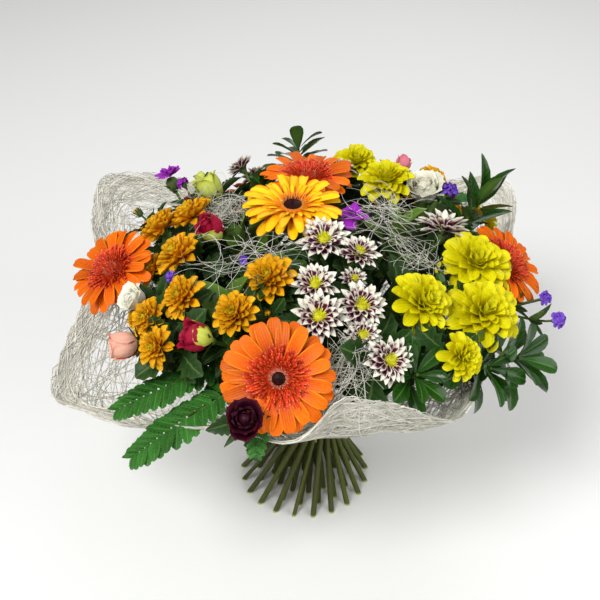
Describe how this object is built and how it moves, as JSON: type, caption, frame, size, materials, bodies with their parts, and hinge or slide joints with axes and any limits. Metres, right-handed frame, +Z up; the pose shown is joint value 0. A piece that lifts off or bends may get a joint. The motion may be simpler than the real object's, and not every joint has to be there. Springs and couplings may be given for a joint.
{
  "type": "mixed flower bouquet",
  "caption": "Round hand-tied bouquet of mixed cut flowers and leaves, bound in a spiral so that it stands on its splayed stems, with an open fibre sheet gathered under the flowers.",
  "frame": {"origin": "on the ground, at the middle of the bouquet's outline", "axes": "+Z up along the bound stems, -Y towards the front, +X to the right seen from the front"},
  "size_m": [0.4861, 0.4632, 0.3617],
  "materials": {
    "petal_orange": "soft fresh petals",
    "petal_gold": "soft fresh petals",
    "petal_white": "soft fresh petals, cream with a burgundy base",
    "petal_amber": "soft fresh petals",
    "petal_yellow": "soft fresh petals",
    "petal_crimson": "soft fresh petals",
    "petal_peach": "soft fresh petals",
    "petal_cream": "soft fresh petals",
    "petal_burgundy": "soft fresh petals",
    "petal_pink": "soft fresh petals",
    "petal_green": "soft fresh petals",
    "petal_purple": "soft fresh petals",
    "petal_violet": "soft fresh petals",
    "leaf_glossy": "glossy waxy leaf",
    "leaf_fern": "matt fresh frond",
    "stem_green": "fresh cut stem",
    "natural_fibre": "dry plant fibre",
    "jute_string": "twisted natural string"
  },
  "bodies": {
    "root": {"gerbera_yellow_top": "petal_gold", "white_spray_top": "petal_white", "purple_stock_centre": "petal_purple", "gerbera_orange_top": "petal_orange", "rose_crimson_left": "petal_crimson", "purple_sprig_inner_left": "petal_violet", "amber_spray_centre": "petal_amber", "white_spray_front": "petal_white", "yellow_spray_right_front": "petal_yellow", "white_spray_right": "petal_white", "yellow_spray_top": "petal_yellow", "rose_green_left": "petal_green", "amber_spray_left": "petal_amber", "purple_sprig_left": "petal_violet", "amber_spray_front_left": "petal_amber", "yellow_spray_right": "petal_yellow", "rose_white_right": "petal_cream", "white_spray_back_left": "petal_white", "rose_crimson_front": "petal_crimson", "rose_white_left": "petal_cream", "white_spray_low": "petal_white", "rose_pink_back": "petal_pink", "amber_spray_back_right": "petal_amber", "purple_sprig_back_right": "petal_violet", "purple_stock_left": "petal_purple", "rose_cream_rear": "petal_cream", "white_spray_rear": "petal_white", "amber_spray_rear": "petal_amber", "yellow_spray_far_right": "petal_yellow", "gerbera_orange_front": "petal_orange", "gerbera_orange_left": "petal_orange", "gerbera_orange_right": "petal_orange", "gerbera_orange_rear": "petal_orange", "gerbera_yellow_rear": "petal_gold", "yellow_spray_low_right": "petal_yellow", "amber_spray_low_left": "petal_amber", "rose_peach_left": "petal_peach", "rose_burgundy_front": "petal_burgundy", "purple_sprig_right": "petal_violet", "yellow_spray_back": "petal_yellow", "rose_crimson_rear": "petal_crimson", "salal_crown_left": "leaf_glossy", "salal_centre": "leaf_glossy", "salal_right": "leaf_glossy", "pittosporum_crown_back": "leaf_glossy", "pittosporum_inner_right": "leaf_glossy", "ruscus_back_right": "leaf_glossy", "pittosporum_right": "leaf_glossy", "pittosporum_front_right": "leaf_glossy", "pittosporum_low_right": "leaf_glossy", "pittosporum_back": "leaf_glossy", "pittosporum_rear_left": "leaf_glossy", "fern_upper_left": "leaf_fern", "fern_lower_left": "leaf_fern", "fern_front": "leaf_fern", "fern_rear_right": "leaf_fern", "fibre_sheet": "natural_fibre", "binding_string": "jute_string", "sisal_curl_front": "natural_fibre", "sisal_curl_left": "natural_fibre"}
  },
  "joints": []
}
